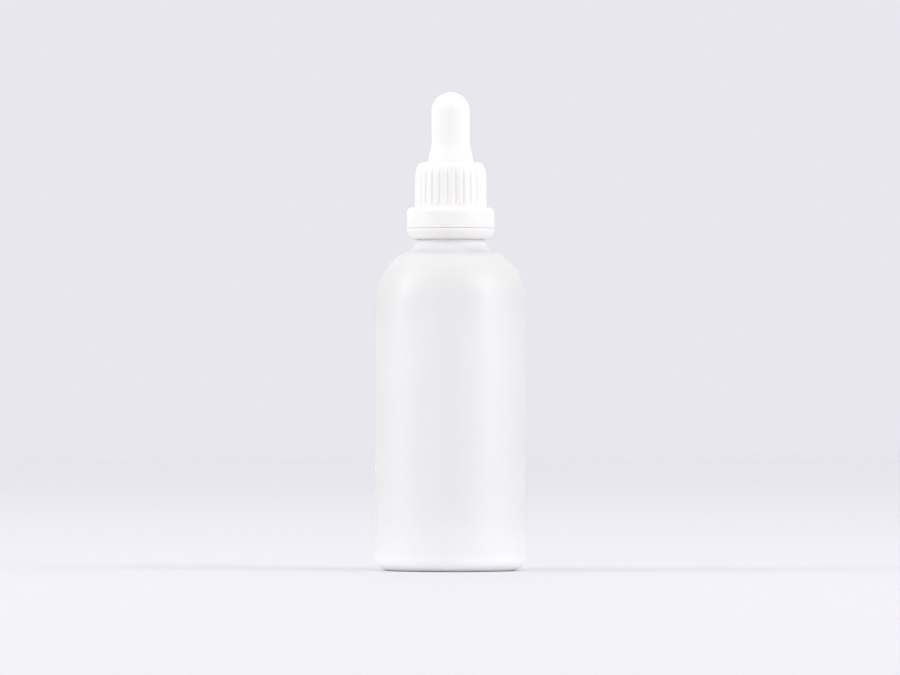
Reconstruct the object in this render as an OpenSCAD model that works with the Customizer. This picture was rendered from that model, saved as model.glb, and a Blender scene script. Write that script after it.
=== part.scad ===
// Medicine dropper bottle: a frosted glass bottle with a screw-on dropper.
// Millimetres, +Z up, origin at the centre of the base, on the surface it stands on.

/* [Bottle] */
// Outside diameter of the body
body_d = 44.5; // [42:0.5:50]
// Height of the glass, from the table to the lip
bottle_h = 112.5; // [105:0.5:120]
// Height at which the shoulder starts to curve in
shoulder_z = 80.5; // [72:0.5:81]
// Outside radius of the shoulder curve
shoulder_r = 15; // [14:0.25:15.5]
// Outside radius of the hollow curve between shoulder and neck
neck_fillet = 5.5; // [4:0.5:6]
// Outside radius of the heel, where the wall turns into the base
heel_r = 4.2; // [3:0.2:5]
// Thickness of the glass wall
glass_t = 2.2; // [1.6:0.1:2.6]
// Thickness of the glass at the base
base_t = 3.4; // [2.5:0.1:4]
// Height of the push-up in the middle of the base
push_up = 1.4; // [0.8:0.1:2]

/* [Neck finish] */
// Outside diameter over the thread
thread_d = 17.9; // [17.6:0.1:18]
// Diameter at the foot of the thread
root_d = 16.1; // [15.8:0.1:16.3]
// Bore of the mouth
bore_d = 11.6; // [11.2:0.1:12]
// Diameter of the bead that keeps the tamper band on
bead_d = 21.2; // [20.8:0.1:21.6]
// Diameter of the neck under the bead
neck_d = 19.4; // [19:0.1:19.6]
// Rise of the thread in one turn
pitch = 3; // [2.8:0.1:3.2]
// Turns of thread on the neck
neck_turns = 1.5; // [1.25:0.25:1.75]

/* [Screw cap] */
// Diameter of the ribbed collar
collar_d = 21.2; // [21:0.1:22]
// Diameter of the smooth skirt
skirt_d = 25.8; // [25:0.1:26.5]
// Height of the top of the collar above the table
collar_top_z = 120.8; // [120.6:0.1:122]
// Height of the ledge where the collar meets the skirt
ledge_z = 107.5; // [107:0.1:108.2]
// Number of grip grooves
grooves = 28; // [20:1:32]
// Depth of each grip groove
groove_depth = 0.45; // [0.3:0.05:0.55]
// Height of the slit between skirt and tamper band
slit_h = 0.15; // [0.1:0.05:0.4]

/* [Tamper band] */
// Height of the underside of the band above the table
band_z = 98.1; // [97.9:0.1:98.5]
// Height of the band
band_h = 3.1; // [2.8:0.1:3.2]
// Number of flaps that catch under the bead
flaps = 12; // [8:1:14]
// Number of thin bridges across the slit
bridges = 8; // [6:1:12]

/* [Dropper] */
// Diameter of the rubber bulb
bulb_d = 11.3; // [10.8:0.1:12]
// Height of the top of the bulb above the table
bulb_top_z = 141.7; // [136:0.1:146]
// Thickness of the bulb's rubber
rubber_t = 1.35; // [1:0.05:1.6]
// Outside diameter of the glass pipette
pipette_d = 7; // [6.8:0.1:7.2]
// Wall thickness of the glass pipette
pipette_t = 1; // [0.8:0.1:1.2]
// Length of the glass pipette
pipette_l = 107.5; // [90:0.5:108]
// Diameter of the pipette at its tip
tip_d = 3.4; // [3:0.1:4]
// Thickness of the sealing washer
washer_t = 0.8; // [0.6:0.1:1]

/* [Hidden] */
$fn = 96;
arc_steps = 12;        // straight pieces in a quarter turn of an outline

body_r = body_d / 2;
bore_r = bore_d / 2;
root_r = root_d / 2;
thread_r = thread_d / 2;
bead_r = bead_d / 2;
neck_r = neck_d / 2;
collar_r = collar_d / 2;
skirt_r = skirt_d / 2;

band_top_z = band_z + band_h;
skirt_z = band_top_z + slit_h;         // underside of the cap's skirt
bead_z = band_top_z - 0.1;             // underside of the glass bead
bead_h = 1.6;
shoulder_x = body_r - shoulder_r;      // centre of the shoulder curve
foot_in_r = body_r - heel_r - 3.2;     // inside of the flat ring that the bottle stands on

hole_r = 7;                            // hole in the collar's top, which the bulb comes through
top_wall = 1.4;
flange_t = 2;                          // thickness of the bulb's flange

holder_z = bottle_h + washer_t;        // underside of the holder's rim
flange_top_z = collar_top_z - top_wall;
flange_z = flange_top_z - flange_t;    // where the bulb's flange sits on the holder
spigot_top_z = flange_z + 7;
holder_r = 9.25;
cup_r = 7.1;                           // hollow under the holder's plate
ferrule_r = 4.6;
washer_r = 8.5;
cap_rise = pitch * 1.5;                // how far the cap climbs off the thread
barb_z = bottle_h - cap_rise - 0.1;    // top of the barb that catches the washer
pipette_top_z = flange_z + 1;

first_groove = -5;                     // direction of one grip groove
cap_bore_r = thread_r + 0.5;           // inside of the cap over the thread
cap_crest_r = thread_r + 0.08;         // crest of the cap's own thread, just clear of the neck's
skirt_bore_r = bead_r + 0.7;           // inside of the skirt and band over the bead
neck_thread_z = bottle_h - 6.6;        // middle of the neck thread at its lower end

// Points along an arc about [x, z], from angle a to angle b.
function arc(x, z, r, a, b) =
    let (n = max(2, ceil(abs(b - a) / 90 * arc_steps)))
    [for (i = [0:n]) [x + r * cos(a + (b - a) * i / n), z + r * sin(a + (b - a) * i / n)]];

// Points along a quarter of an ellipse about [x, z], from its side to its top.
function quarter(x, z, rx, rz) = [for (p = arc(0, 0, 1, 0, 90)) [x + rx * p[0], z + rz * p[1]]];

// A ridge of trapezoid section wound up a helix. It stands from foot_r to crest_r, and sinks
// back into its wall over the last degrees of each end. A crest inside the foot faces inwards.
module helical_ridge(foot_r, crest_r, foot_w, crest_w, z, from, to, fade = 40, step = 12) {
    outward = crest_r > foot_r;
    sunk = outward ? -0.35 : 0.35;     // how deep the foot is buried in its wall
    n = ceil((to - from) / step);
    function ease(a) = min(1, (a - from) / fade, (to - a) / fade);
    function ring(a) =
        let (mid = z + pitch * a / 360)
        let (t = ease(a))
        let (crest = foot_r + sunk / 3 + (crest_r - foot_r - sunk / 3) * t)
        let (foot = foot_r + sunk)
        [[foot, mid - foot_w / 2], [crest, mid - crest_w / 2],
         [crest, mid + crest_w / 2], [foot, mid + foot_w / 2]];
    rings = [for (i = [0:n]) let (a = from + (to - from) * i / n)
        [for (p = ring(a)) [p[0] * cos(a), p[0] * sin(a), p[1]]]];
    sides = [for (i = [0:n - 1]) for (k = [0:3]) let (m = (k + 1) % 4)
        [4 * i + k, 4 * i + m, 4 * i + 4 + m, 4 * i + 4 + k]];
    ends = [[3, 2, 1, 0], [4 * n, 4 * n + 1, 4 * n + 2, 4 * n + 3]];
    all = concat(sides, ends);
    polyhedron([for (r = rings) for (p = r) p],
        outward ? all : [for (f = all) [f[3], f[2], f[1], f[0]]]);
}

// A shoulder curve of radius r, and the hollow curve of radius f that carries it up to a neck
// of radius neck. The two meet at a common tangent.
function shoulder_to_neck(r, f, neck) =
    let (x = neck + f)
    let (rise = sqrt(pow(r + f, 2) - pow(x - shoulder_x, 2)))
    let (meet = atan2(rise, x - shoulder_x))
    concat(arc(shoulder_x, shoulder_z, r, 0, meet),
           arc(x, shoulder_z + rise, f, 180 + meet, 180));

// Outside of the bottle from the axis at the base, round to the lip.
function bottle_outside() = concat(
    [[0, push_up]],
    arc(foot_in_r, push_up, push_up, -120, -90),
    arc(body_r - heel_r, heel_r, heel_r, -90, 0),
    shoulder_to_neck(shoulder_r, neck_fillet, neck_r),
    [[neck_r, bead_z - 0.6]],
    arc(bead_r - 0.5, bead_z + 0.5, 0.5, -90, 0),
    arc(bead_r - 0.5, bead_z + bead_h - 0.5, 0.5, 0, 90),
    arc(root_r + 0.5, bead_z + bead_h + 0.5, 0.5, 270, 180),
    arc(root_r - 0.7, bottle_h - 0.7, 0.7, 0, 90));

// Inside of the bottle from the axis at the floor, round to the lip.
function bottle_inside() =
    let (floor_r = 4)
    let (in_r = body_r - glass_t)
    concat(
        [[0, base_t + push_up * 0.8]],
        arc(in_r - floor_r, base_t + floor_r, floor_r, -90, 0),
        shoulder_to_neck(shoulder_r - glass_t, neck_fillet + 1, bore_r),
        arc(bore_r + 0.5, bottle_h - 0.5, 0.5, 180, 90));

// A list back to front.
function reversed(v) = [for (i = [len(v) - 1:-1:0]) v[i]];

// Frosted glass bottle with a one-start neck thread and a bead for the tamper band.
module bottle() {
    color("azure", 0.6) {
        rotate_extrude() polygon(concat(bottle_outside(), reversed(bottle_inside())));
        helical_ridge(root_r, thread_r, 2, 0.8, neck_thread_z, 0, neck_turns * 360);
    }
}

// Flap on the inside of the band, folded up and in so that it catches under the glass bead.
module band_flap(width) {
    rotate_extrude(angle = width)
        polygon([[skirt_bore_r + 0.3, band_z + 0.9], [skirt_bore_r + 0.3, band_z + 1.6],
                 [neck_r + 0.5, bead_z - 0.3], [neck_r + 0.5, bead_z - 0.8]]);
}

// Tamper-evident band, with the snapped bridges that joined it to the skirt.
module tamper_band() {
    edge = 1.2;
    taper = 0.7;                       // how much smaller its radius is at the foot
    lip = 0.5;                         // how far the foot turns in under the bore
    color("white") union() {
        rotate_extrude() polygon(concat(
            [[skirt_bore_r, band_z + 1], [skirt_bore_r - lip, band_z + 0.35],
             [skirt_bore_r - lip, band_z + 0.1]],
            arc(skirt_r - taper - edge, band_z + edge, edge, -90, -20),
            [[skirt_r - 0.35, band_z + 1.45], [skirt_r, band_top_z - 0.4], [skirt_r, band_top_z - 0.1],
             [skirt_r - 0.1, band_top_z], [skirt_bore_r, band_top_z]]));
        for (i = [0:flaps - 1])
            rotate(i * 360 / flaps) band_flap(20);
        for (i = [0:bridges - 1])
            rotate((i + 0.5) * 360 / bridges)
                translate([skirt_bore_r + 0.5, -0.3, band_top_z - 0.1])
                    cube([0.7, 0.6, slit_h + 0.07]);
    }
}

// Flat ring that seals the holder against the glass lip.
module sealing_washer() {
    color("ivory") rotate_extrude()
        translate([ferrule_r + 0.25, bottle_h]) square([washer_r - ferrule_r - 0.25, washer_t]);
}

// Moulded insert: its rim presses the washer, its spigot plugs the bulb, and its ferrule holds
// the glass pipette and ends in a barb that stops the washer falling off.
module pipette_holder() {
    plate_z = flange_z - 2;
    glass_r = pipette_d / 2 + 0.03;
    air_r = pipette_d / 2 - pipette_t + 0.3;
    color("floralwhite") rotate_extrude() polygon([
        [glass_r, barb_z - 0.9], [ferrule_r, barb_z - 0.9], [ferrule_r + 0.55, barb_z - 0.25],
        [ferrule_r + 0.55, barb_z], [ferrule_r, barb_z], [ferrule_r, plate_z],
        [cup_r, plate_z], [cup_r, holder_z], [holder_r, holder_z], [holder_r, flange_z],
        [ferrule_r + 0.05, flange_z], [ferrule_r + 0.05, spigot_top_z - 0.5],
        [ferrule_r - 0.35, spigot_top_z], [air_r, spigot_top_z], [air_r, pipette_top_z],
        [glass_r, pipette_top_z]]);
}

// Straight glass tube, drawn down to a fire-polished tip.
module pipette() {
    r = pipette_d / 2;
    in_r = r - pipette_t;
    tip_r = tip_d / 2;
    tip_z = pipette_top_z - pipette_l;
    taper_z = tip_z + 15;
    color("lightcyan", 0.5) rotate_extrude() polygon(concat(
        [[tip_r - 0.9, tip_z + 0.2]],
        arc(tip_r - 0.5, tip_z + 0.5, 0.5, -90, 0),
        [[tip_r + 0.1, tip_z + 4], [r - 0.35, taper_z - 2.5], [r, taper_z]],
        arc(r - 0.35, pipette_top_z - 0.35, 0.35, 0, 90),
        [[in_r, pipette_top_z], [in_r, taper_z + 0.5], [in_r - 0.4, taper_z - 2],
         [tip_r - 0.8, tip_z + 4], [tip_r - 0.9, tip_z + 2]]));
}

// Rubber bulb: a round-topped tube that flares in a cone to its flange, which the collar traps.
module bulb() {
    r = bulb_d / 2;
    dome_z = bulb_top_z - r;
    in_r = r - rubber_t;
    seat_r = hole_r - 0.15;            // where it passes through the collar
    bend_r = 6;                        // hollow curve between the tube and the cone
    color("snow") rotate_extrude() polygon(concat(
        [[ferrule_r + 0.1, flange_z], [holder_r - 0.05, flange_z], [holder_r - 0.05, flange_top_z],
         [seat_r, flange_top_z], [seat_r, collar_top_z - 0.1]],
        arc(r + bend_r, collar_top_z + 6, bend_r, 192, 180),
        arc(0, dome_z, r, 0, 90),
        arc(0, dome_z, in_r, 90, 0),
        [[in_r, spigot_top_z + 0.8], [ferrule_r + 0.1, spigot_top_z + 0.3]]));
}

// Grip groove cut in the outside of the collar. It runs out in a point on the rounded top edge.
module grip_groove() {
    cut_r = 0.65;
    translate([collar_r + cut_r - groove_depth, 0, ledge_z + 0.5])
        cylinder(h = collar_top_z - ledge_z, r = cut_r);
}

// Screw cap: ribbed collar, smooth skirt and an inside thread.
module screw_cap() {
    corner = [1.9, 4.5];               // width and height of the collar's rounded top edge
    skirt_corner = 1.5;
    catch_z = holder_z - 0.15;         // bead that keeps the holder in the cap
    color("white") union() {
        difference() {
            rotate_extrude() polygon(concat(
                [[hole_r, flange_top_z], [cap_bore_r, flange_top_z], [cap_bore_r, catch_z],
                 [cap_bore_r - 0.35, catch_z - 0.2], [cap_bore_r - 0.35, catch_z - 0.35],
                 [cap_bore_r, catch_z - 0.7], [cap_bore_r, ledge_z - 2.6],
                 [skirt_bore_r, ledge_z - 4], [skirt_bore_r, skirt_z], [skirt_r - 0.15, skirt_z],
                 [skirt_r, skirt_z + 0.15]],
                arc(skirt_r - skirt_corner, ledge_z - skirt_corner, skirt_corner, 0, 90),
                arc(collar_r + 0.4, ledge_z + 0.4, 0.4, 270, 180),
                quarter(collar_r - 0.06 - corner[0], collar_top_z - corner[1], corner[0], corner[1]),
                [[hole_r, collar_top_z]]));
            for (i = [0:grooves - 1])
                rotate(i * 360 / grooves + first_groove) grip_groove();
        }
        helical_ridge(cap_bore_r, cap_crest_r, 1.3, 0.6, neck_thread_z - pitch / 2 + 0.25, 120, 560);
    }
}

bottle();
tamper_band();
sealing_washer();
pipette_holder();
pipette();
bulb();
screw_cap();
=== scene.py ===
"""Looks of a medicine dropper bottle: frosted glass, white screw cap with a tamper band, rubber
bulb, and the glass pipette, its holder and a sealing washer inside. Outlines are in millimetres
in the CAD frame, and each mesh is written in metres. The stage is in metres."""

import math

import bpy
import numpy as np
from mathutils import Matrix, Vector


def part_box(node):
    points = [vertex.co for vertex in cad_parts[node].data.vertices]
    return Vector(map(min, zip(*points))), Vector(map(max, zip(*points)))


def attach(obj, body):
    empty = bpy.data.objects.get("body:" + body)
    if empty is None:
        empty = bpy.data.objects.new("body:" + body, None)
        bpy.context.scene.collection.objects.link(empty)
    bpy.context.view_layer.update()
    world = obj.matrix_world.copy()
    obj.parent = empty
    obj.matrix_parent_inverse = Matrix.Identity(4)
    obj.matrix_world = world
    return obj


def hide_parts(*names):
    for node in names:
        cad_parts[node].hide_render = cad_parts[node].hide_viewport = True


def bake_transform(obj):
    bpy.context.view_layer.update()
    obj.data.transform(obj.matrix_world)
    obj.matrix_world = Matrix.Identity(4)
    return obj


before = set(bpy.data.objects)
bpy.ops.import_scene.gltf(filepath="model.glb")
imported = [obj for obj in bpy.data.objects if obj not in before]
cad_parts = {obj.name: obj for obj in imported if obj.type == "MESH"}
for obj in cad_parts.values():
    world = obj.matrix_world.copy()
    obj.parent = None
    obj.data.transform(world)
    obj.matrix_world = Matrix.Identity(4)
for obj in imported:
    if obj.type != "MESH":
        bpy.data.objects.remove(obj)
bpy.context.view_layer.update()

MM = 0.001
TURN = 2 * math.pi


def extent(node):
    """Lowest z, highest z and outer radius of a round CAD node, in millimetres."""
    low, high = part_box(node)
    return low.z / MM, high.z / MM, high.x / MM


_, LIP_Z, BODY_R = extent("bottle")
BAND_Z, _, _ = extent("tamper_band")
SKIRT_Z, COLLAR_TOP_Z, SKIRT_R = extent("screw_cap")
WASHER_Z, WASHER_TOP_Z, WASHER_R = extent("sealing_washer")
BARB_Z, SPIGOT_TOP_Z, HOLDER_R = extent("pipette_holder")
TIP_Z, PIPETTE_TOP_Z, PIPETTE_R = extent("pipette")
FLANGE_Z, BULB_TOP_Z, FLANGE_R = extent("bulb")

# Bottle
SHOULDER_Z = 80.5
SHOULDER_R = 15
NECK_FILLET = 5.5
HEEL_R = 4.2
FOOT_W = 3.2          # width of the flat ring that it stands on
PUSH_UP = 1.4
GLASS_T = 2.2
BASE_T = 3.4          # height of the inside floor at its edge
NECK_R = 9.7
BEAD_R = 10.6
ROOT_R = 8.05
THREAD_R = 8.95
BORE_R = 5.8
BEAD_H = 1.6
PITCH = 3
THREAD_Z = LIP_Z - 6.6      # where the middle of the neck's thread starts
THREAD_TURNS = 1.5
KNURLS = 64           # small ridges on the ring that it stands on
KNURL_H = 0.16
SEAM_H = 0.05         # height of the mould's parting line
SEAM_HALF = 0.35      # half the width of the parting line

# Cap and band
COLLAR_R = 10.6
COLLAR_TOP_R = COLLAR_R - 0.06
COLLAR_EDGE = (1.9, 4.5)    # width and height of the collar's rounded top edge
CAP_BORE_R = 9.45
CAP_CREST_R = 9.03
CAP_THREAD_TURNS = 440 / 360
SKIRT_BORE_R = 11.3
SKIRT_EDGE = 1.5
LEDGE_Z = 107.5
HOLE_R = 7
GROOVES = 28
GROOVE_HALF = 0.72    # half the width of a groove
GROOVE_DEPTH = 0.38
FLANGE_TOP_Z = COLLAR_TOP_Z - 1.4
SLIT_H = 0.15
BAND_TOP_Z = SKIRT_Z - SLIT_H
BEAD_Z = BAND_TOP_Z - 0.1
FLAPS = 12

# Dropper
BULB_R = 5.65
RUBBER_T = 1.35
FERRULE_R = 4.6
TIP_R = 1.7
PIPETTE_T = 1
HOLDER_CUP_R = 7.1    # hollow under the holder's plate

# Looks
GROOVE_PHASE = math.radians(-5)
ETCH_ROUGHNESS = (0.5, 0.56)    # least and most roughness of fully etched glass
ETCH_CLEARNESS = 0.08       # share of the light that fully etched glass lets through
INSIDE_ROUGHNESS = 0.03
# Heights, and how far the outside of the bottle is etched there: most at its foot and at the
# root of its neck, and least on the shoulder
FROSTING = ((0, 1.0), (2.5, 1.0), (6, 0.8), (14, 0.72), (24, 0.67), (40, 0.64), (72, 0.64),
            (80, 0.58), (86, 0.58), (91, 0.68), (95.5, 0.77), (97.6, 1.0), (99.5, 1.0), (101.2, 0.6))
GLASS_TINT = (0.86, 0.97, 0.86)
GLASS_DENSITY = 90          # absorption per metre of glass
PIPETTE_TINT = (0.82, 0.93, 0.88)
PIPETTE_DENSITY = 120       # high, so that the thin tube shows against a pale backdrop
FLOOR_COLOUR = (0.722, 0.719, 0.757, 1)
BACKDROP_COLOUR = (0.815, 0.8, 0.855, 1)
STUDIO_LIGHT = (0.99, 0.98, 0.99, 1)
FADE_FROM = 0.2             # distance at which the tabletop starts to fade, in metres
FADE_TO = 4.4
TABLE_RINGS = (0.1, 0.2, 0.4, 0.8, 1.4, 2.2, 3.2, 4.5)    # in metres
LIGHT_AIM = Vector((0, 0, 0.08))    # middle of the bottle, in metres

# Camera, in millimetres
CAMERA_DISTANCE = 2200
CAMERA_X = -0.2
CAMERA_Z = 54
AIM_Z = 69
PICTURE_WIDTH = 900         # in pixels
PICTURE_SCALE = 3.375       # pixels per millimetre at the bottle


# ---------------------------------------------------------------- outlines

def arc(x, z, r, start, end, step=4):
    """Points along an arc about (x, z), from one angle to another in degrees."""
    n = max(2, math.ceil(abs(end - start) / step))
    angles = np.radians(np.linspace(start, end, n + 1))
    return [(x + r * math.cos(a), z + r * math.sin(a)) for a in angles]


def line(start, end, n):
    """n points from start to end, both included."""
    return [tuple(p) for p in np.linspace(start, end, n)]


def marked(points, mark):
    """The points with a mark that names the relief and the finish of the surface they begin."""
    return [(r, z, mark) for r, z in points]


def ease(t):
    """A smooth step from 0 to 1."""
    t = np.clip(t, 0, 1)
    return t * t * (3 - 2 * t)


# ---------------------------------------------------------------- meshes

def shade(mesh, sharp_deg):
    """Smooth shading that keeps edges sharper than sharp_deg."""
    mesh.polygons.foreach_set("use_smooth", np.ones(len(mesh.polygons), bool))
    mesh.set_sharp_from_angle(angle=math.radians(sharp_deg))


def piece(name, vertices, faces, material, frost=None, sharp_deg=35):
    """A mesh object from vertices in millimetres. frost gives each vertex's share of etching."""
    mesh = bpy.data.meshes.new(name)
    mesh.from_pydata((np.asarray(vertices) * MM).tolist(), [], faces)
    mesh.materials.append(material)
    if frost:
        mesh.attributes.new("frost", "FLOAT", "POINT").data.foreach_set("value", frost)
    shade(mesh, sharp_deg)
    obj = bpy.data.objects.new(name, mesh)
    bpy.context.scene.collection.objects.link(obj)
    return obj


def turned(outline, columns, reliefs=None, span=TURN):
    """Vertices, their marks, and faces of a closed outline turned about Z. The outline runs
    counter-clockwise, so up on the outside. reliefs maps a mark to a function of angle and height
    that gives how far the surface moves out and up. A span under a whole turn gives a closed
    slice."""
    reliefs = reliefs or {}
    whole = span == TURN
    angles = np.linspace(0, span, columns, endpoint=not whole)
    vertices = []
    marks = []
    rings = []
    for r, z, mark in outline:
        if r < 1e-6:
            rings.append([len(vertices)] * columns)
            vertices.append((0, 0, z))
            marks.append(mark)
            continue
        out, up = reliefs.get(mark, lambda a, h: (0, 0))(angles, z)
        rings.append(list(range(len(vertices), len(vertices) + columns)))
        radius = r + np.zeros(columns) + out
        height = z + np.zeros(columns) + up
        ring = np.column_stack([radius * np.cos(angles), radius * np.sin(angles), height])
        vertices += ring.tolist()
        marks += [mark] * columns
    faces = []
    for i in range(len(outline)):
        low = rings[i]
        high = rings[(i + 1) % len(outline)]
        if low[0] == low[-1] and high[0] == high[-1]:
            continue
        for j in range(columns if whole else columns - 1):
            k = (j + 1) % columns
            corners = [low[j], low[k], high[k], high[j]]
            faces.append([c for n, c in enumerate(corners) if c not in corners[:n]])
    if not whole:
        faces.append([ring[0] for ring in rings])
        faces.append([ring[-1] for ring in reversed(rings)])
    return vertices, marks, faces


def joined(parts):
    """One list of vertices and one of faces. Each part is an outline, its columns, its span, and
    the angle that it starts at."""
    vertices = []
    faces = []
    for outline, columns, span, start in parts:
        points, _, polygons = turned(marked(outline, "plain"), columns, span=span)
        c = math.cos(start)
        s = math.sin(start)
        faces += [[len(vertices) + v for v in f] for f in polygons]
        vertices += [(x * c - y * s, x * s + y * c, z) for x, y, z in points]
    return vertices, faces


def thread_relief(start_z, turns, height, foot, crest, start_angle=0):
    """Relief of a right-handed thread ridge, foot wide at its root and crest wide at its top. A
    negative height stands inwards. Each end runs out over 40 degrees."""
    fade = math.radians(40)

    def relief(angle, z):
        share = np.zeros_like(angle)
        for k in range(math.ceil(turns) + 1):
            wound = angle - start_angle + TURN * k
            end = np.minimum(wound, turns * TURN - wound)
            mid = start_z + PITCH * wound / TURN
            slope = (foot / 2 - np.abs(z - mid)) / ((foot - crest) / 2)
            share = np.maximum(share, ease(slope) * ease(end / fade))
        return height * share, 0
    return relief


# ---------------------------------------------------------------- materials

def shader(name, **sockets):
    """A new material, its node tree, and its Principled shader with the given socket values."""
    material = bpy.data.materials.new(name)
    material.use_nodes = True
    tree = material.node_tree
    principled = tree.nodes["Principled BSDF"]
    for socket, value in sockets.items():
        principled.inputs[socket.replace("_", " ")].default_value = value
    return material, tree, principled


def noise(tree, scale, detail=3.0, distortion=0.0):
    """A noise texture in the object's own coordinates, scale in cells per metre."""
    nodes = tree.nodes
    where = nodes.get("where") or nodes.new("ShaderNodeTexCoord")
    where.name = "where"
    texture = nodes.new("ShaderNodeTexNoise")
    texture.inputs["Scale"].default_value = scale
    texture.inputs["Detail"].default_value = detail
    texture.inputs["Distortion"].default_value = distortion
    tree.links.new(where.outputs["Object"], texture.inputs["Vector"])
    return texture.outputs["Fac"]


def ranged(tree, value, low, high, start=0.3, end=0.7):
    """Maps start to end of a value to low to high. A noise texture mostly lies in 0.3 to 0.7."""
    node = tree.nodes.new("ShaderNodeMapRange")
    node.inputs["From Min"].default_value = start
    node.inputs["From Max"].default_value = end
    node.inputs["To Min"].default_value = low
    node.inputs["To Max"].default_value = high
    tree.links.new(value, node.inputs["Value"])
    return node.outputs["Result"]


def math_node(tree, operation, first, second):
    """A math node on one value and on a second value or number."""
    node = tree.nodes.new("ShaderNodeMath")
    node.operation = operation
    tree.links.new(first, node.inputs[0])
    if isinstance(second, (int, float)):
        node.inputs[1].default_value = second
    else:
        tree.links.new(second, node.inputs[1])
    return node.outputs["Value"]


def two_tone(tree, principled, value, dark, light):
    """Base colour that wanders between two colours as the value goes from 0.3 to 0.7."""
    ramp = tree.nodes.new("ShaderNodeValToRGB")
    ramp.color_ramp.elements[0].position = 0.3
    ramp.color_ramp.elements[0].color = (*dark, 1)
    ramp.color_ramp.elements[1].position = 0.7
    ramp.color_ramp.elements[1].color = (*light, 1)
    tree.links.new(value, ramp.inputs["Fac"])
    tree.links.new(ramp.outputs["Color"], principled.inputs["Base Color"])


def bumps(tree, principled, layers):
    """Bump from (height value, depth in millimetres) layers, one over the other."""
    last = None
    for height, depth in layers:
        bump = tree.nodes.new("ShaderNodeBump")
        bump.inputs["Distance"].default_value = depth * MM
        tree.links.new(height, bump.inputs["Height"])
        if last:
            tree.links.new(last.outputs["Normal"], bump.inputs["Normal"])
        last = bump
    tree.links.new(last.outputs["Normal"], principled.inputs["Normal"])


def absorbing(tree, tint, density):
    """Glass that takes colour with thickness."""
    volume = tree.nodes.new("ShaderNodeVolumeAbsorption")
    volume.inputs["Color"].default_value = (*tint, 1)
    volume.inputs["Density"].default_value = density
    tree.links.new(volume.outputs["Volume"], tree.nodes["Material Output"].inputs["Volume"])


def bottle_glass():
    """Faintly green glass, acid-etched to a fine matt skin outside and fire-bright inside. The
    frost attribute is how far the glass is etched: over a half outside, and 0 inside."""
    material, tree, principled = shader("bottle_glass", Base_Color=(1, 0.988, 1, 1), IOR=1.52)
    frost = tree.nodes.new("ShaderNodeAttribute")
    frost.attribute_name = "frost"
    cloud = noise(tree, 90, detail=2)
    etched = math_node(tree, "MULTIPLY", ranged(tree, cloud, *ETCH_ROUGHNESS), frost.outputs["Fac"])
    roughness = math_node(tree, "MAXIMUM", etched, INSIDE_ROUGHNESS)
    grain = math_node(tree, "MULTIPLY", noise(tree, 1400, detail=4), frost.outputs["Fac"])
    clear = ranged(tree, frost.outputs["Fac"], 1, ETCH_CLEARNESS, 0, 1)
    tree.links.new(clear, principled.inputs["Transmission Weight"])
    tree.links.new(roughness, principled.inputs["Roughness"])
    bumps(tree, principled, [(noise(tree, 60, detail=1), 0.06), (grain, 0.012)])
    absorbing(tree, GLASS_TINT, GLASS_DENSITY)
    return material


def clear_glass():
    """Clear drawn tube, with the faint lengthwise lines of drawing."""
    material, tree, principled = shader(
        "clear_glass", Base_Color=(0.99, 1, 0.995, 1), Transmission_Weight=1.0, IOR=1.47,
        Roughness=0.02)
    where = tree.nodes.new("ShaderNodeTexCoord")
    stretch = tree.nodes.new("ShaderNodeMapping")
    stretch.inputs["Scale"].default_value = (1, 1, 0.02)
    lines = tree.nodes.new("ShaderNodeTexNoise")
    lines.inputs["Scale"].default_value = 900
    tree.links.new(where.outputs["Object"], stretch.inputs["Vector"])
    tree.links.new(stretch.outputs["Vector"], lines.inputs["Vector"])
    bumps(tree, principled, [(lines.outputs["Fac"], 0.01)])
    absorbing(tree, PIPETTE_TINT, PIPETTE_DENSITY)
    return material


def white_plastic():
    """Satin polypropylene with a fine spark-eroded grain and slight flow shading."""
    material, tree, principled = shader(
        "white_plastic", IOR=1.49, Subsurface_Weight=0.4, Subsurface_Scale=0.001,
        Subsurface_Radius=(1.0, 0.9, 0.85))
    flow = noise(tree, 140, detail=2, distortion=0.6)
    grain = noise(tree, 5200, detail=2)
    scuffs = noise(tree, 700, detail=5)
    two_tone(tree, principled, flow, (0.813, 0.804, 0.793), (0.838, 0.83, 0.82))
    tree.links.new(ranged(tree, scuffs, 0.3, 0.42), principled.inputs["Roughness"])
    bumps(tree, principled, [(flow, 0.02), (grain, 0.008)])
    return material


def white_rubber():
    """Soft satin rubber, a shade lighter than the cap, with a powdery skin."""
    material, tree, principled = shader(
        "white_rubber", IOR=1.46, Subsurface_Weight=0.2, Subsurface_Scale=0.0018,
        Subsurface_Radius=(1.0, 0.85, 0.75))
    bloom = noise(tree, 260, detail=3)
    skin = noise(tree, 3400, detail=3)
    two_tone(tree, principled, bloom, (0.825, 0.818, 0.807), (0.84, 0.834, 0.824))
    tree.links.new(ranged(tree, bloom, 0.5, 0.62), principled.inputs["Roughness"])
    bumps(tree, principled, [(bloom, 0.03), (skin, 0.012)])
    return material


def natural_plastic():
    """Uncoloured polyethylene, waxy and slightly see-through."""
    material, tree, principled = shader(
        "natural_plastic", IOR=1.5, Subsurface_Weight=0.45, Subsurface_Scale=0.002,
        Subsurface_Radius=(1.0, 0.97, 0.9))
    wax = noise(tree, 300, detail=2)
    two_tone(tree, principled, wax, (0.85, 0.85, 0.83), (0.9, 0.9, 0.89))
    tree.links.new(ranged(tree, wax, 0.35, 0.45), principled.inputs["Roughness"])
    bumps(tree, principled, [(noise(tree, 2600, detail=2), 0.01)])
    return material


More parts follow.
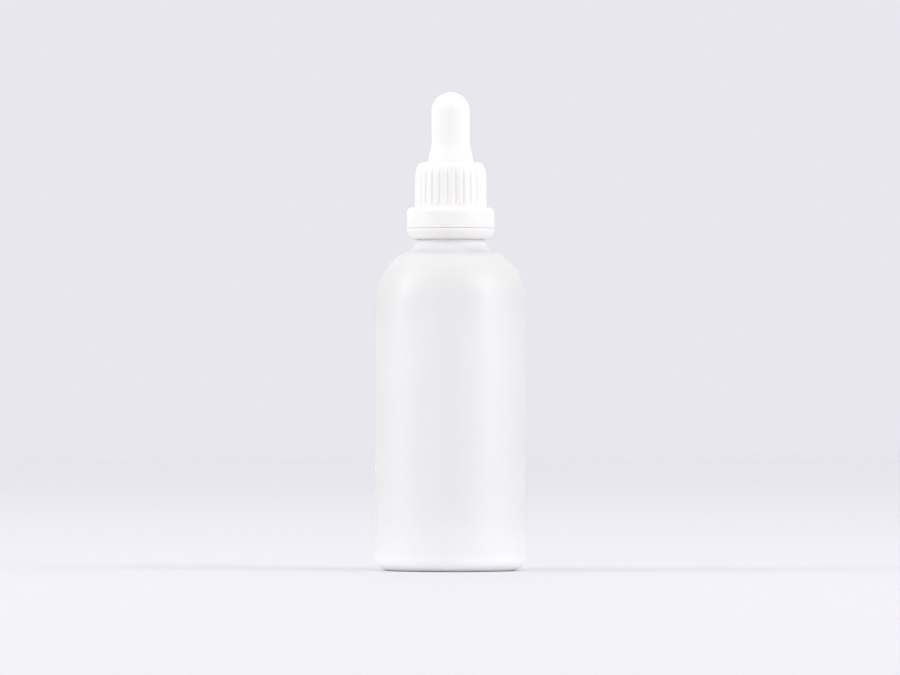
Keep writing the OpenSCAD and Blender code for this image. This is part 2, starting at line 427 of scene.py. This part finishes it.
def washer_foam():
    """Closed-cell polyethylene foam."""
    material, tree, principled = shader("washer_foam", IOR=1.45)
    cells = tree.nodes.new("ShaderNodeTexVoronoi")
    cells.inputs["Scale"].default_value = 4200
    where = tree.nodes.new("ShaderNodeTexCoord")
    tree.links.new(where.outputs["Object"], cells.inputs["Vector"])
    two_tone(tree, principled, noise(tree, 500, detail=2), (0.86, 0.84, 0.79), (0.91, 0.9, 0.86))
    tree.links.new(ranged(tree, cells.outputs["Distance"], 0.6, 0.8), principled.inputs["Roughness"])
    bumps(tree, principled, [(cells.outputs["Distance"], 0.04)])
    return material


# ---------------------------------------------------------------- bottle

def shoulder_to_neck(r, fillet, neck):
    """The shoulder's curve, and the hollow curve that carries it up to a neck."""
    centre = BODY_R - SHOULDER_R
    x = neck + fillet
    rise = math.sqrt((r + fillet) ** 2 - (x - centre) ** 2)
    meet = math.degrees(math.atan2(rise, x - centre))
    curve = arc(centre, SHOULDER_Z, r, 0, meet, 3)
    return curve + arc(x, SHOULDER_Z + rise, fillet, 180 + meet, 180)


def seam_relief(angle, z):
    """Two parting lines of the mould, on opposite sides."""
    off = np.abs(np.mod(angle + TURN / 4, TURN / 2) - TURN / 4) * BODY_R
    return SEAM_H * ease(1 - off / SEAM_HALF), 0


def foot_relief(angle, z):
    """Small ridges across the ring that the bottle stands on. The gaps between them are recessed."""
    return 0, KNURL_H * ease(0.5 - 0.9 * np.cos(angle * KNURLS))


def wavy_relief(angle, z):
    """Uneven thickness of a blown wall."""
    return 0.12 * np.sin(2 * angle + z / 19) + 0.07 * np.sin(3 * angle - z / 11 + 1), 0


def frosting(z):
    """How far the outside is etched at a height."""
    heights, shares = zip(*FROSTING)
    return float(np.interp(z, heights, shares))


def bottle():
    """Bottle with thread, bead and push-up. Its outside is frosted and its inside is bright."""
    foot_out = BODY_R - HEEL_R
    foot_in = foot_out - FOOT_W
    root_z = BEAD_Z + BEAD_H
    shoulder = shoulder_to_neck(SHOULDER_R, NECK_FILLET, NECK_R)
    outside = (
        marked([(0, PUSH_UP), (4, PUSH_UP - 0.06), (8, PUSH_UP - 0.3), (11.4, PUSH_UP - 0.85)], "plain")
        + marked(arc(foot_in - 0.3, 0.6, 0.6, -135, -90, 9), "plain")
        + marked(line((foot_in + 0.4, 0), (foot_out - 0.4, 0), 5), "foot")
        + marked(arc(foot_out, HEEL_R, HEEL_R, -90, 0), "seam")
        + marked(line((BODY_R, HEEL_R + 1), (BODY_R, SHOULDER_Z - 1), 8), "seam")
        + marked(shoulder, "seam")
        + marked(arc(BEAD_R - 0.5, BEAD_Z + 0.5, 0.5, -90, 0, 15), "plain")
        + marked(arc(BEAD_R - 0.5, root_z - 0.5, 0.5, 0, 90, 15), "plain")
        + marked(arc(ROOT_R + 0.5, root_z + 0.5, 0.5, 270, 180, 15), "thread")
        + marked(line((ROOT_R, root_z + 0.7), (ROOT_R, LIP_Z - 1.2), 40), "thread")
        + marked(arc(ROOT_R - 0.8, LIP_Z - 0.8, 0.8, 0, 90, 10), "plain"))
    inside = (
        [(0, BASE_T + PUSH_UP * 0.8), (6, BASE_T + PUSH_UP * 0.66), (12, BASE_T + PUSH_UP * 0.2)]
        + arc(BODY_R - GLASS_T - 4, BASE_T + 4, 4, -90, 0, 6)
        + line((BODY_R - GLASS_T, BASE_T + 6), (BODY_R - GLASS_T, SHOULDER_Z - 2), 16)
        + shoulder_to_neck(SHOULDER_R - GLASS_T, NECK_FILLET + 1, BORE_R)
        + arc(BORE_R + 0.5, LIP_Z - 0.5, 0.5, 180, 90, 10))
    wavy_from = HEEL_R + 4
    inner = [(r, z, "wavy" if wavy_from < z < SHOULDER_Z else "inner") for r, z in inside]
    reliefs = {
        "seam": seam_relief,
        "foot": foot_relief,
        "wavy": wavy_relief,
        "thread": thread_relief(THREAD_Z, THREAD_TURNS, THREAD_R - ROOT_R, foot=1.8, crest=0.7),
    }
    points, marks, faces = turned(outside + inner[::-1], KNURLS * 6, reliefs)
    frost = [0.0 if mark in ("wavy", "inner") else frosting(z)
             for mark, (_, _, z) in zip(marks, points)]
    return piece("bottle_glass", points, faces, bottle_glass(), frost)


# ---------------------------------------------------------------- cap and band

def collar_radius(z):
    """Radius of the collar at a height, before its grooves are cut."""
    run, rise = COLLAR_EDGE
    up = np.clip((z - COLLAR_TOP_Z + rise) / rise, 0, 1)
    return COLLAR_TOP_R - run * (1 - math.sqrt(1 - up * up))


def groove_relief(angle, z):
    """Grip grooves: rounded troughs that run out in a point on the collar's rounded top edge."""
    pitch = TURN / GROOVES
    off = np.abs(np.mod(angle - GROOVE_PHASE + pitch / 2, pitch) - pitch / 2) * COLLAR_R
    past = max(0, LEDGE_Z + 0.5 + GROOVE_HALF - z)
    share = np.clip(np.hypot(off, past) / GROOVE_HALF, 0, 1)
    bed = COLLAR_R - GROOVE_DEPTH * (0.5 + 0.5 * np.cos(math.pi * share))
    return np.minimum(0, bed - collar_radius(z)), 0


def screw_cap(plastic):
    """Ribbed collar, smooth skirt and inside thread, in one moulding."""
    run, rise = COLLAR_EDGE
    corner = [(COLLAR_TOP_R - run + run * math.cos(a), COLLAR_TOP_Z - rise + rise * math.sin(a))
              for a in np.linspace(0, math.pi / 2, 32)]
    outside = (
        marked([(SKIRT_BORE_R + 0.1, SKIRT_Z)], "plain")
        + marked(arc(SKIRT_R - 0.12, SKIRT_Z + 0.12, 0.12, -90, 0, 15), "plain")
        + marked(arc(SKIRT_R - SKIRT_EDGE, LEDGE_Z - SKIRT_EDGE, SKIRT_EDGE, 0, 90, 6), "plain")
        + marked(arc(COLLAR_R + 0.5, LEDGE_Z + 0.45, 0.5, 270, 180, 15), "grooves")
        + marked(line((COLLAR_R, LEDGE_Z + 0.6), (COLLAR_TOP_R, COLLAR_TOP_Z - rise - 0.1), 40), "grooves")
        + marked(corner, "grooves")
        + marked(arc(HOLE_R + 0.3, COLLAR_TOP_Z - 0.3, 0.3, 90, 180, 15), "plain"))
    catch = WASHER_TOP_Z - 0.5
    inside = (
        marked([(HOLE_R, FLANGE_TOP_Z), (CAP_BORE_R, FLANGE_TOP_Z)], "plain")
        + marked(line((CAP_BORE_R, FLANGE_TOP_Z - 0.3), (CAP_BORE_R, catch + 0.4), 4), "plain")
        + marked(arc(CAP_BORE_R + 0.1, catch, 0.42, 130, 230, 12), "plain")
        + marked(line((CAP_BORE_R, catch - 0.5), (CAP_BORE_R, LEDGE_Z - 2.4), 50), "thread")
        + marked([(CAP_BORE_R, LEDGE_Z - 2.6), (SKIRT_BORE_R, LEDGE_Z - 4)], "plain")
        + marked([(SKIRT_BORE_R, SKIRT_Z + 0.2)], "plain"))
    between = THREAD_Z - PITCH / 2 + 0.25       # a little over midway between the neck's turns
    first = math.radians(120)
    reliefs = {
        "grooves": groove_relief,
        "thread": thread_relief(between + PITCH * first / TURN, CAP_THREAD_TURNS,
                                CAP_CREST_R - CAP_BORE_R, foot=1.2, crest=0.5, start_angle=first),
    }
    points, _, faces = turned(outside + inside, GROOVES * 16, reliefs)
    return piece("cap_moulding", points, faces, plastic)


def tamper_band(plastic):
    """Band with a foot that curves in to a lip, and flaps folded up under the bead. Its inner rim
    reaches almost to the skirt, which leaves the slit shallow."""
    edge = 1.2            # radius of the curve from the foot to the side
    taper = 0.7           # how much smaller its radius is at the foot
    lip_r = SKIRT_BORE_R - 0.5
    rim_z = SKIRT_Z - 0.02
    flap_r = NECK_R + 0.45
    shell = (
        [(SKIRT_BORE_R, BAND_Z + 1), (lip_r, BAND_Z + 0.4), (lip_r, BAND_Z + 0.15)]
        + [(lip_r + 0.06, BAND_Z + 0.04)]
        + arc(SKIRT_R - taper - edge, BAND_Z + edge, edge, -90, -20, 7)
        + [(SKIRT_R - 0.35, BAND_Z + 1.45)]
        + arc(SKIRT_R - 3, BAND_TOP_Z - 0.12, 3, -14, 0, 3)
        + arc(SKIRT_R - 0.1, BAND_TOP_Z - 0.1, 0.1, 0, 90, 30)
        + [(SKIRT_R - 0.13, BAND_TOP_Z), (SKIRT_R - 0.2, rim_z), (SKIRT_BORE_R, rim_z)])
    flap = [(SKIRT_BORE_R + 0.3, BAND_Z + 0.9), (SKIRT_BORE_R + 0.3, BAND_Z + 1.6),
            (NECK_R + 0.55, BEAD_Z - 0.3), (flap_r, BEAD_Z - 0.4), (flap_r, BEAD_Z - 0.7),
            (NECK_R + 0.55, BEAD_Z - 0.8)]
    parts = [(shell, 384, TURN, 0)]
    parts += [(flap, 12, math.radians(20), TURN * i / FLAPS) for i in range(FLAPS)]
    return piece("tamper_ring", *joined(parts), plastic)


# ---------------------------------------------------------------- dropper

def bulb():
    """Rubber bulb: a round-topped tube with a soft flare above the flange that the collar traps."""
    seat = HOLE_R - 0.15    # fits in the hole through the collar's top
    bend_r = 6            # hollow curve between the tube and the cone
    bend_z = COLLAR_TOP_Z + 6
    dome_z = BULB_TOP_Z - BULB_R
    inner_r = BULB_R - RUBBER_T
    outline = (
        [(FERRULE_R + 0.1, FLANGE_Z)]
        + arc(FLANGE_R - 0.25, FLANGE_Z + 0.25, 0.25, -90, 0, 15)
        + arc(FLANGE_R - 0.25, FLANGE_TOP_Z - 0.25, 0.25, 0, 90, 15)
        + [(seat + 0.1, FLANGE_TOP_Z), (seat, FLANGE_TOP_Z + 0.1), (seat, COLLAR_TOP_Z - 0.1)]
        + line((seat - 0.03, COLLAR_TOP_Z + 0.1), (BULB_R + 0.2, bend_z - 1.6), 8)
        + arc(BULB_R + bend_r, bend_z, bend_r, 192, 180, 2)
        + line((BULB_R, bend_z + 0.4), (BULB_R, dome_z - 0.4), 18)
        + arc(0, dome_z, BULB_R, 0, 90, 3)
        + arc(0, dome_z, inner_r, 90, 0, 5)
        + line((inner_r, dome_z - 0.5), (inner_r, SPIGOT_TOP_Z + 0.8), 12)
        + [(FERRULE_R + 0.1, SPIGOT_TOP_Z + 0.3), (FERRULE_R + 0.1, FLANGE_Z + 0.3)])
    points, _, faces = turned(marked(outline, "plain"), 192)
    return piece("rubber_bulb", points, faces, white_rubber(), sharp_deg=50)


def pipette():
    """Drawn tube with a tapered, fire-polished tip."""
    taper_h = 15          # height over the tip at which the tube has its full width
    neck_h = 4            # straight part below the taper
    inner_r = PIPETTE_R - PIPETTE_T
    tip_inner = TIP_R - 0.9
    share = np.linspace(0, 1, 22)
    height = TIP_Z + neck_h + (taper_h - neck_h) * share

    def widened(start_r, end_r):
        """The taper's points, from a radius just over start_r to end_r."""
        return [(start_r + 0.1 + (end_r - start_r - 0.1) * float(s), z)
                for s, z in zip(ease(share), height)]

    outline = (
        arc(TIP_R - 0.4, TIP_Z + 0.4, 0.4, -90, 0, 10)
        + widened(TIP_R, PIPETTE_R)
        + line((PIPETTE_R, TIP_Z + taper_h + 3), (PIPETTE_R, PIPETTE_TOP_Z - 3), 16)
        + arc(PIPETTE_R - 0.4, PIPETTE_TOP_Z - 0.4, 0.4, 0, 90, 10)
        + arc(inner_r + 0.3, PIPETTE_TOP_Z - 0.3, 0.3, 90, 180, 10)
        + line((inner_r, PIPETTE_TOP_Z - 3), (inner_r, TIP_Z + taper_h + 3), 16)
        + widened(tip_inner, inner_r)[::-1]
        + arc(tip_inner + 0.3, TIP_Z + 0.3, 0.3, 180, 270, 10))
    points, _, faces = turned(marked(outline, "plain"), 128)
    return piece("glass_pipette", points, faces, clear_glass(), sharp_deg=50)


def pipette_holder():
    """Insert with a rim on the washer, a ribbed spigot in the bulb, and a barbed ferrule."""
    glass_r = PIPETTE_R + 0.03
    air_r = PIPETTE_R - PIPETTE_T + 0.3
    plate_z = FLANGE_Z - 2
    rings = []            # shallow rings on the spigot that grip the rubber
    for z in np.arange(FLANGE_Z + 1.2, SPIGOT_TOP_Z - 1.2, 1.4):
        rings += arc(FERRULE_R - 0.25, z, 0.3, -60, 60, 20)
    outline = (
        [(glass_r, BARB_Z), (FERRULE_R - 0.1, BARB_Z), (FERRULE_R, BARB_Z + 0.1)]
        + arc(FERRULE_R + 0.35, BARB_Z + 0.7, 0.2, -30, 90, 15)
        + [(FERRULE_R, BARB_Z + 0.9)]
        + arc(FERRULE_R + 0.4, plate_z - 0.4, 0.4, 180, 90, 15)
        + arc(HOLDER_CUP_R - 0.3, plate_z - 0.3, 0.3, 90, 0, 15)
        + [(HOLDER_CUP_R, WASHER_TOP_Z)]
        + arc(HOLDER_R - 0.2, WASHER_TOP_Z + 0.2, 0.2, -90, 0, 15)
        + arc(HOLDER_R - 0.2, FLANGE_Z - 0.2, 0.2, 0, 90, 15)
        + [(FERRULE_R + 0.05, FLANGE_Z)]
        + rings
        + [(FERRULE_R + 0.05, SPIGOT_TOP_Z - 0.5), (FERRULE_R - 0.35, SPIGOT_TOP_Z)]
        + [(air_r, SPIGOT_TOP_Z), (air_r, PIPETTE_TOP_Z + 0.02), (glass_r, PIPETTE_TOP_Z + 0.02)])
    points, _, faces = turned(marked(outline, "plain"), 160)
    return piece("holder_moulding", points, faces, natural_plastic())


def sealing_washer():
    """Flat foam ring with rounded outer edges."""
    thick = WASHER_TOP_Z - WASHER_Z
    inner = FERRULE_R + 0.25
    outline = (
        [(inner + 0.1, WASHER_Z), (WASHER_R - 0.5, WASHER_Z)]
        + arc(WASHER_R - 0.3, WASHER_Z + 0.3, 0.3, -90, 0, 15)
        + arc(WASHER_R - 0.3, WASHER_TOP_Z - 0.3, 0.3, 0, 90, 15)
        + [(inner + 0.1, WASHER_TOP_Z), (inner, WASHER_TOP_Z - 0.1), (inner, WASHER_Z + thick * 0.2)])
    points, _, faces = turned(marked(outline, "plain"), 128)
    return piece("foam_washer", points, faces, washer_foam())


# ---------------------------------------------------------------- stage

def floor():
    """Pale round tabletop that fades into the background at its far edge."""
    columns = 96
    vertices = [(0, 0, 0)]
    for r in TABLE_RINGS:
        vertices += [(r * math.cos(TURN * j / columns), r * math.sin(TURN * j / columns), 0)
                     for j in range(columns)]
    faces = [(0, 1 + j, 1 + (j + 1) % columns) for j in range(columns)]
    for i in range(len(TABLE_RINGS) - 1):
        for j in range(columns):
            a = 1 + i * columns
            k = (j + 1) % columns
            faces.append((a + j, a + columns + j, a + columns + k, a + k))
    mesh = bpy.data.meshes.new("tabletop")
    mesh.from_pydata(vertices, [], faces)
    obj = bpy.data.objects.new("tabletop", mesh)
    bpy.context.scene.collection.objects.link(obj)
    material, tree, _ = shader("tabletop", Base_Color=FLOOR_COLOUR, Roughness=0.6, IOR=1.4,
                               Specular_IOR_Level=0.1)
    nodes = tree.nodes
    where = nodes.new("ShaderNodeTexCoord")
    reach = nodes.new("ShaderNodeVectorMath")
    reach.operation = "LENGTH"
    clear = nodes.new("ShaderNodeBsdfTransparent")
    mix = nodes.new("ShaderNodeMixShader")
    tree.links.new(where.outputs["Object"], reach.inputs[0])
    faded = ranged(tree, reach.outputs["Value"], 0, 1, FADE_FROM, FADE_TO)
    tree.links.new(faded, mix.inputs["Fac"])
    tree.links.new(nodes["Principled BSDF"].outputs["BSDF"], mix.inputs[1])
    tree.links.new(clear.outputs["BSDF"], mix.inputs[2])
    tree.links.new(mix.outputs["Shader"], nodes["Material Output"].inputs["Surface"])
    mesh.materials.append(material)


def softbox(name, azimuth, elevation, distance, width, height, power):
    """Area light aimed at the middle of the bottle. Azimuth 0 is the camera's side, and positive is
    to the right of the picture."""
    data = bpy.data.lights.new(name, "AREA")
    data.shape = "RECTANGLE"
    data.size = width
    data.size_y = height
    data.energy = power
    a = math.radians(azimuth)
    e = math.radians(elevation)
    away = Vector((math.sin(a) * math.cos(e), -math.cos(a) * math.cos(e), math.sin(e)))
    obj = bpy.data.objects.new(name, data)
    obj.location = LIGHT_AIM + distance * away
    obj.rotation_euler = (LIGHT_AIM - obj.location).to_track_quat("-Z", "Y").to_euler()
    obj.visible_camera = False
    bpy.context.scene.collection.objects.link(obj)


def background():
    """An even, very pale lavender backdrop, in a white studio that lights from all sides."""
    world = bpy.data.worlds.new("studio")
    world.use_nodes = True
    tree = world.node_tree
    light = tree.nodes["Background"]
    light.inputs["Color"].default_value = STUDIO_LIGHT
    backdrop = tree.nodes.new("ShaderNodeBackground")
    backdrop.inputs["Color"].default_value = BACKDROP_COLOUR
    path = tree.nodes.new("ShaderNodeLightPath")
    mix = tree.nodes.new("ShaderNodeMixShader")
    tree.links.new(path.outputs["Is Camera Ray"], mix.inputs["Fac"])
    tree.links.new(light.outputs["Background"], mix.inputs[1])
    tree.links.new(backdrop.outputs["Background"], mix.inputs[2])
    tree.links.new(mix.outputs["Shader"], tree.nodes["World Output"].inputs["Surface"])
    bpy.context.scene.world = world


def camera():
    """Long lens, level with the lower part of the bottle and tilted up a little."""
    data = bpy.data.cameras.new("camera")
    data.lens = PICTURE_SCALE * CAMERA_DISTANCE * data.sensor_width / PICTURE_WIDTH
    data.clip_end = 50
    obj = bpy.data.objects.new("camera", data)
    obj.location = (CAMERA_X * MM, -CAMERA_DISTANCE * MM, CAMERA_Z * MM)
    tilt = math.atan((AIM_Z - CAMERA_Z) / CAMERA_DISTANCE)
    obj.rotation_euler = (math.pi / 2 + tilt, 0, 0)
    bpy.context.scene.collection.objects.link(obj)
    bpy.context.scene.camera = obj


def dress():
    """Makes each piece, gives it its body, and hides the CAD node that it replaces."""
    plastic = white_plastic()
    cap = screw_cap(plastic)
    rubber = bulb()
    for obj, body, node, slot in (
            (bottle(), "bottle", "bottle", "frosted_glass"),
            (tamper_band(plastic), "band", "tamper_band", "white_plastic"),
            (sealing_washer(), "seal", "sealing_washer", "washer_foam"),
            (pipette_holder(), "dropper", "pipette_holder", "natural_plastic"),
            (pipette(), "dropper", "pipette", "clear_glass"),
            (cap, "cap", "screw_cap", "white_plastic"),
            (rubber, None, "bulb", "white_rubber")):
        if body:
            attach(obj, body)
        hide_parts(node)
    # The bulb's flange stays in the cap, and its top goes down when it is pressed.
    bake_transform(rubber)


dress()
floor()
background()
softbox("left_softbox", azimuth=-80, elevation=25, distance=3.0, width=1.8, height=2.7, power=31)
softbox("right_softbox", azimuth=64, elevation=25, distance=3.0, width=1.8, height=2.7, power=31)
camera()
bpy.context.scene.view_settings.view_transform = "Standard"
